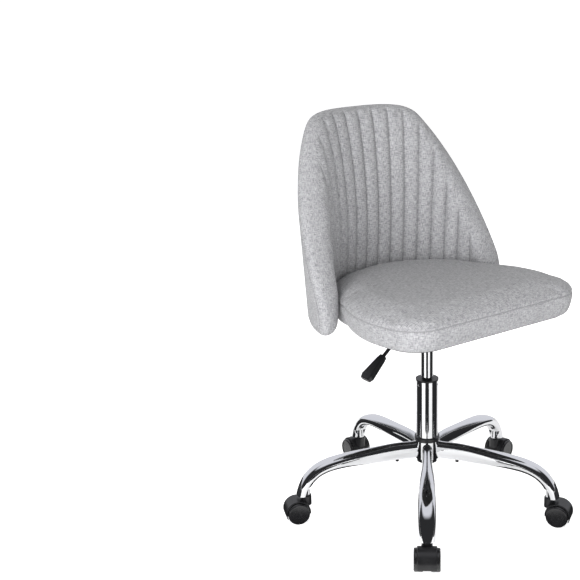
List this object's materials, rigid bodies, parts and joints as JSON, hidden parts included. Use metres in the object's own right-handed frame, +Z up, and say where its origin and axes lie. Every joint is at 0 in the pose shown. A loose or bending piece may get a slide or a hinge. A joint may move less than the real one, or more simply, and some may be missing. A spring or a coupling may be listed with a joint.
{
  "type": "swivel office chair",
  "caption": "Swivel office chair with a padded seat, wrap-around channel-sewn back, gas lift column and chromed star base on twin-wheel casters.",
  "frame": {"origin": "on the floor plane under the column axis", "axes": "+Z up along the column, -Y the way the sitter faces, -X towards the lever (the sitter's right)"},
  "size_m": [0.6542, 0.6368, 0.895],
  "materials": {
    "chrome": "polished",
    "black_plastic": "satin",
    "wheel_nylon": "satin",
    "plain_steel": "zinc plated",
    "black_steel": "powder coated",
    "rubber": "matte",
    "plywood": "raw",
    "grey_fabric": "heathered weave",
    "dust_cloth": "non-woven"
  },
  "bodies": {
    "base": {"base_hub": "chrome", "base_arm_1": "chrome", "base_arm_2": "chrome", "base_arm_3": "chrome", "base_arm_4": "chrome", "base_arm_5": "chrome", "arm_plugs": "black_plastic", "stem_sockets": "chrome", "caster_stems": "plain_steel", "hub_ring": "black_plastic", "column_tube": "chrome", "guide_bush": "black_plastic", "column_footplate": "plain_steel", "thrust_washer": "plain_steel"},
    "piston": {"piston_rod": "plain_steel", "piston_head": "plain_steel", "rod_clip": "plain_steel", "rod_race": "plain_steel", "rod_buffer": "rubber"},
    "seat": {"gas_cylinder": "chrome", "cylinder_seal": "rubber", "seat_plate": "black_steel", "seat_board": "plywood", "seat_cushion": "grey_fabric", "seat_dust_cover": "dust_cloth", "seat_bolts": "plain_steel", "seat_tee_nuts": "plain_steel", "back_shell": "plywood", "back_front_pad": "grey_fabric", "back_rear_panel": "grey_fabric", "back_bracket_left": "black_steel", "back_bracket_right": "black_steel", "back_bolts": "plain_steel", "lever_pin": "plain_steel"},
    "lever": {"lever_rod": "black_steel", "lever_handle": "black_plastic"},
    "release_button": {"release_button": "plain_steel"},
    "caster_1": {"caster_hood_1": "black_plastic", "caster_axle_1": "plain_steel"},
    "wheel_left_1": {"wheel_left_1": "wheel_nylon"},
    "wheel_right_1": {"wheel_right_1": "wheel_nylon"},
    "caster_2": {"caster_hood_2": "black_plastic", "caster_axle_2": "plain_steel"},
    "wheel_left_2": {"wheel_left_2": "wheel_nylon"},
    "wheel_right_2": {"wheel_right_2": "wheel_nylon"},
    "caster_3": {"caster_hood_3": "black_plastic", "caster_axle_3": "plain_steel"},
    "wheel_left_3": {"wheel_left_3": "wheel_nylon"},
    "wheel_right_3": {"wheel_right_3": "wheel_nylon"},
    "caster_4": {"caster_hood_4": "black_plastic", "caster_axle_4": "plain_steel"},
    "wheel_left_4": {"wheel_left_4": "wheel_nylon"},
    "wheel_right_4": {"wheel_right_4": "wheel_nylon"},
    "caster_5": {"caster_hood_5": "black_plastic", "caster_axle_5": "plain_steel"},
    "wheel_left_5": {"wheel_left_5": "wheel_nylon"},
    "wheel_right_5": {"wheel_right_5": "wheel_nylon"}
  },
  "joints": [
    {"name": "swivel", "type": "hinge", "parent": "base", "child": "piston", "pos_m": [0, 0, 0.115], "axis": [0, 0, 1], "continuous": true},
    {"name": "lift", "type": "slide", "parent": "piston", "child": "seat", "axis": [0, 0, 1], "range_m": [-0.09, 0]},
    {"name": "lever_tilt", "type": "hinge", "parent": "seat", "child": "lever", "pos_m": [-0.03, 0, 0.456], "axis": [0, 1, 0], "range_deg": [0, 6], "stiffness_Nm_per_rad": 3, "springref_deg": -2.86},
    {"name": "button_press", "type": "slide", "parent": "seat", "child": "release_button", "axis": [0, 0, -1], "range_m": [0, 0.0036]},
    {"name": "caster_swivel_1", "type": "hinge", "parent": "base", "child": "caster_1", "pos_m": [-0.18512, -0.22062, 0.05], "axis": [0, 0, 1], "continuous": true},
    {"name": "wheel_spin_left_1", "type": "hinge", "parent": "caster_1", "child": "wheel_left_1", "pos_m": [-0.19926, -0.23747, 0.025], "axis": [0.766, -0.6428, 0], "continuous": true},
    {"name": "wheel_spin_right_1", "type": "hinge", "parent": "caster_1", "child": "wheel_right_1", "pos_m": [-0.19926, -0.23747, 0.025], "axis": [0.766, -0.6428, 0], "continuous": true},
    {"name": "caster_swivel_2", "type": "hinge", "parent": "base", "child": "caster_2", "pos_m": [0.15262, -0.24424, 0.05], "axis": [0, 0, 1], "continuous": true},
    {"name": "wheel_spin_left_2", "type": "hinge", "parent": "caster_2", "child": "wheel_left_2", "pos_m": [0.16428, -0.26289, 0.025], "axis": [0.848, 0.5299, 0], "continuous": true},
    {"name": "wheel_spin_right_2", "type": "hinge", "parent": "caster_2", "child": "wheel_right_2", "pos_m": [0.16428, -0.26289, 0.025], "axis": [0.848, 0.5299, 0], "continuous": true},
    {"name": "caster_swivel_3", "type": "hinge", "parent": "base", "child": "caster_3", "pos_m": [0.27945, 0.06967, 0.05], "axis": [0, 0, 1], "continuous": true},
    {"name": "wheel_spin_left_3", "type": "hinge", "parent": "caster_3", "child": "wheel_left_3", "pos_m": [0.30079, 0.075, 0.025], "axis": [-0.2419, 0.9703, 0], "continuous": true},
    {"name": "wheel_spin_right_3", "type": "hinge", "parent": "caster_3", "child": "wheel_right_3", "pos_m": [0.30079, 0.075, 0.025], "axis": [-0.2419, 0.9703, 0], "continuous": true},
    {"name": "caster_swivel_4", "type": "hinge", "parent": "base", "child": "caster_4", "pos_m": [0.02009, 0.2873, 0.05], "axis": [0, 0, 1], "continuous": true},
    {"name": "wheel_spin_left_4", "type": "hinge", "parent": "caster_4", "child": "wheel_left_4", "pos_m": [0.02162, 0.30924, 0.025], "axis": [-0.9976, 0.0698, 0], "continuous": true},
    {"name": "wheel_spin_right_4", "type": "hinge", "parent": "caster_4", "child": "wheel_right_4", "pos_m": [0.02162, 0.30924, 0.025], "axis": [-0.9976, 0.0698, 0], "continuous": true},
    {"name": "caster_swivel_5", "type": "hinge", "parent": "base", "child": "caster_5", "pos_m": [-0.26703, 0.10789, 0.05], "axis": [0, 0, 1], "continuous": true},
    {"name": "wheel_spin_left_5", "type": "hinge", "parent": "caster_5", "child": "wheel_left_5", "pos_m": [-0.28743, 0.11613, 0.025], "axis": [-0.3746, -0.9272, 0], "continuous": true},
    {"name": "wheel_spin_right_5", "type": "hinge", "parent": "caster_5", "child": "wheel_right_5", "pos_m": [-0.28743, 0.11613, 0.025], "axis": [-0.3746, -0.9272, 0], "continuous": true}
  ],
  "couplings": [
    {"joint": "button_press", "follows": "lever_tilt", "m_per_rad": 0.0335}
  ]
}
